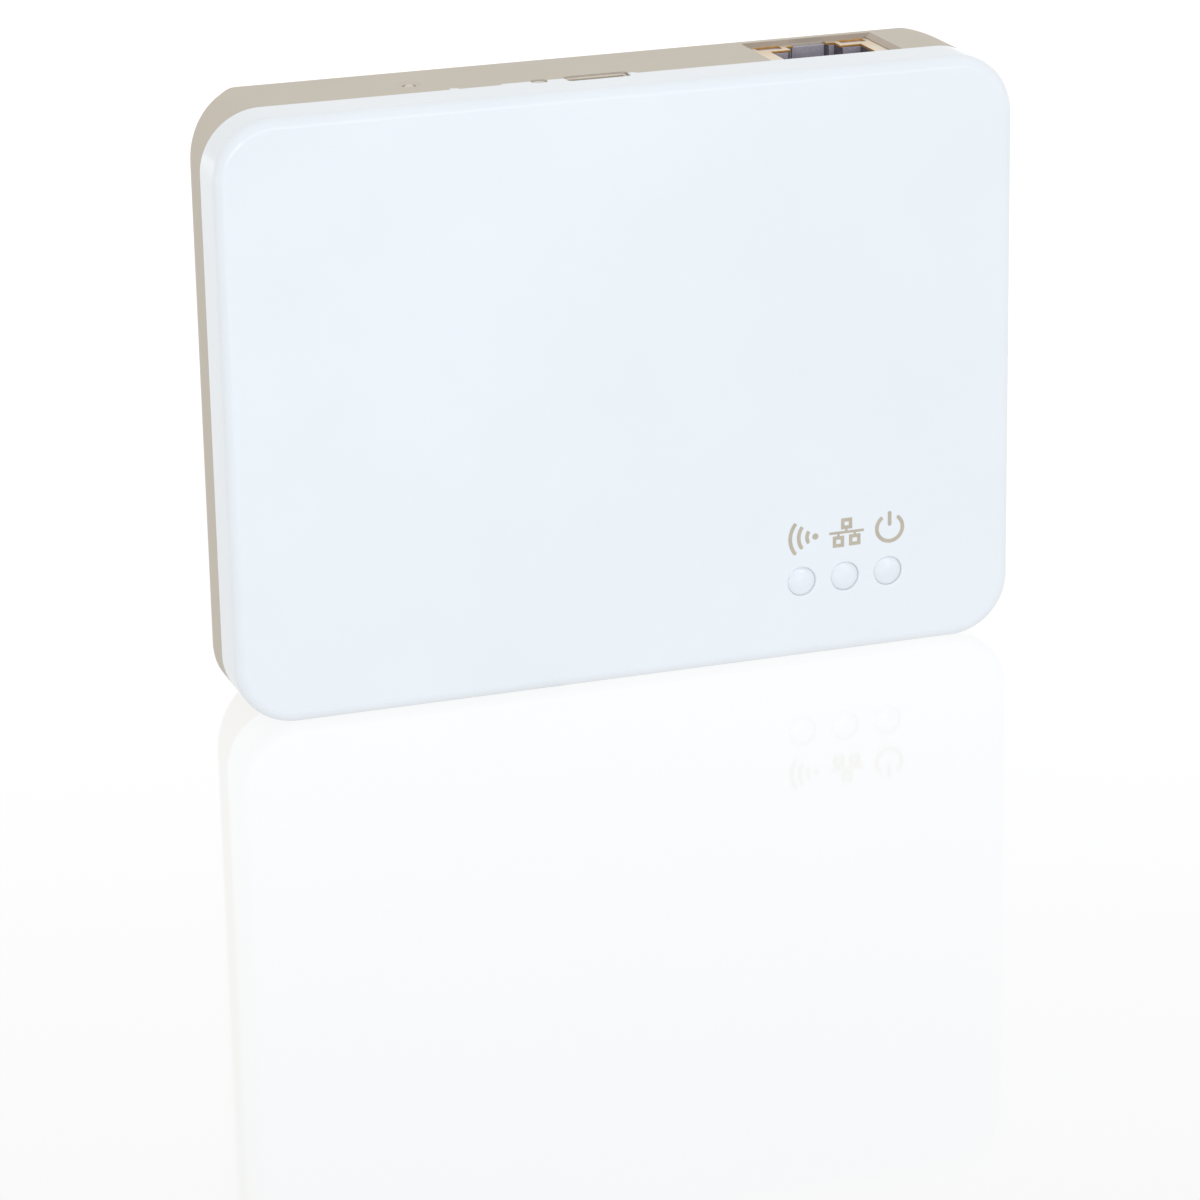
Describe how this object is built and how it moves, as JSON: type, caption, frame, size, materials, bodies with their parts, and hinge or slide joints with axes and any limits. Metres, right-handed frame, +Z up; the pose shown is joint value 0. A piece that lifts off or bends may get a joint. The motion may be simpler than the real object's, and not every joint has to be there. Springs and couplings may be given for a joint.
{
  "type": "mobile hotspot",
  "caption": "Pocket mobile hotspot standing on its long edge: white front cover with indicators, warm grey rear housing, network and charging sockets, press keys, card slot and full interior.",
  "frame": {"origin": "centre of the bounding box at the bottom edge, where the object stands", "axes": "+X along the width, to the right seen from the front; the indicator face looks towards -Y; +Z up"},
  "size_m": [0.1, 0.0196, 0.074],
  "materials": {
    "cover_plastic": "white moulded plastic, satin gloss",
    "housing_plastic": "warm grey moulded plastic, fine matt grain",
    "foot_rubber": "matt rubber",
    "screw_steel": "zinc plated steel",
    "lens_plastic": "milky clear plastic, polished",
    "baffle_plastic": "black moulded plastic",
    "board_laminate": "green solder mask on laminate",
    "jack_steel": "nickel plated sheet steel",
    "jack_plastic": "dark moulded plastic",
    "contact_gold": "gold plated spring wire",
    "socket_steel": "nickel plated sheet steel",
    "socket_plastic": "black moulded plastic",
    "key_plastic": "warm grey moulded plastic",
    "switch_plastic": "black moulded plastic",
    "plunger_plastic": "pale moulded plastic",
    "card_plastic": "white card stock plastic",
    "card_socket_plastic": "dark moulded plastic",
    "chip_epoxy": "black moulded epoxy",
    "shield_tin": "tinned sheet steel",
    "crystal_metal": "nickel plated can",
    "inductor_ferrite": "pressed ferrite",
    "tantalum_epoxy": "yellow moulded epoxy",
    "ceramic_body": "tan ceramic with tinned ends",
    "cell_laminate": "silver aluminium laminate film",
    "foam": "black adhesive foam",
    "heat_pad_silicone": "soft silicone pad",
    "battery_connector": "cream nylon",
    "lead_sleeve": "insulated wire",
    "coax_sleeve": "black insulated coaxial lead",
    "coax_metal": "gold plated connector",
    "antenna_film": "amber flexible film with copper tracks",
    "led_resin": "clear resin"
  },
  "bodies": {
    "case": {"battery_cell": "cell_laminate", "battery_foam_pads": "foam", "battery_leads": "lead_sleeve", "battery_plug": "battery_connector", "battery_protection_board": "board_laminate", "battery_socket": "battery_connector", "cellular_antenna": "antenna_film", "cellular_coax": "coax_sleeve", "ceramic_capacitors": "ceramic_body", "charger_chip": "chip_epoxy", "charging_socket_blade": "socket_plastic", "charging_socket_contacts": "contact_gold", "charging_socket_shell": "socket_steel", "coax_plugs": "coax_metal", "coax_sockets": "coax_metal", "crystals": "crystal_metal", "diversity_antenna": "antenna_film", "diversity_coax": "coax_sleeve", "flash_chip": "chip_epoxy", "front_cover": "cover_plastic", "housing_screws": "screw_steel", "light_baffle": "baffle_plastic", "main_board": "board_laminate", "memory_chip": "chip_epoxy", "modem_board": "board_laminate", "modem_shield": "shield_tin", "network_jack_contacts": "contact_gold", "network_jack_insert": "jack_plastic", "network_jack_shield": "jack_steel", "network_led": "led_resin", "network_lens": "lens_plastic", "network_transformer": "chip_epoxy", "pairing_switch_body": "switch_plastic", "power_inductors": "inductor_ferrite", "power_led": "led_resin", "power_lens": "lens_plastic", "processor": "chip_epoxy", "processor_heat_pad": "heat_pad_silicone", "processor_shield": "shield_tin", "rear_housing": "housing_plastic", "reset_switch_body": "switch_plastic", "rubber_feet": "foot_rubber", "sim_socket_base": "card_socket_plastic", "sim_socket_contacts": "contact_gold", "sim_socket_shell": "shield_tin", "tantalum_capacitors": "tantalum_epoxy", "wifi_antenna_left": "antenna_film", "wifi_antenna_right": "antenna_film", "wifi_left_coax": "coax_sleeve", "wifi_radio": "chip_epoxy", "wifi_right_coax": "coax_sleeve", "wifi_shield": "shield_tin", "wireless_led": "led_resin", "wireless_lens": "lens_plastic"},
    "pairing_key": {"pairing_button": "key_plastic", "pairing_switch_plunger": "plunger_plastic"},
    "reset_key": {"reset_button": "key_plastic", "reset_switch_plunger": "plunger_plastic"},
    "card": {"sim_card": "card_plastic"}
  },
  "joints": [
    {"name": "pairing_press", "type": "slide", "parent": "case", "child": "pairing_key", "axis": [0, 0, -1], "range_m": [0, 0.0003], "stiffness_N_per_m": 5000},
    {"name": "reset_press", "type": "slide", "parent": "case", "child": "reset_key", "axis": [0, 0, -1], "range_m": [0, 0.0003], "stiffness_N_per_m": 5000},
    {"name": "card_slide", "type": "slide", "parent": "case", "child": "card", "axis": [1, 0, 0], "range_m": [0, 0.012]}
  ]
}
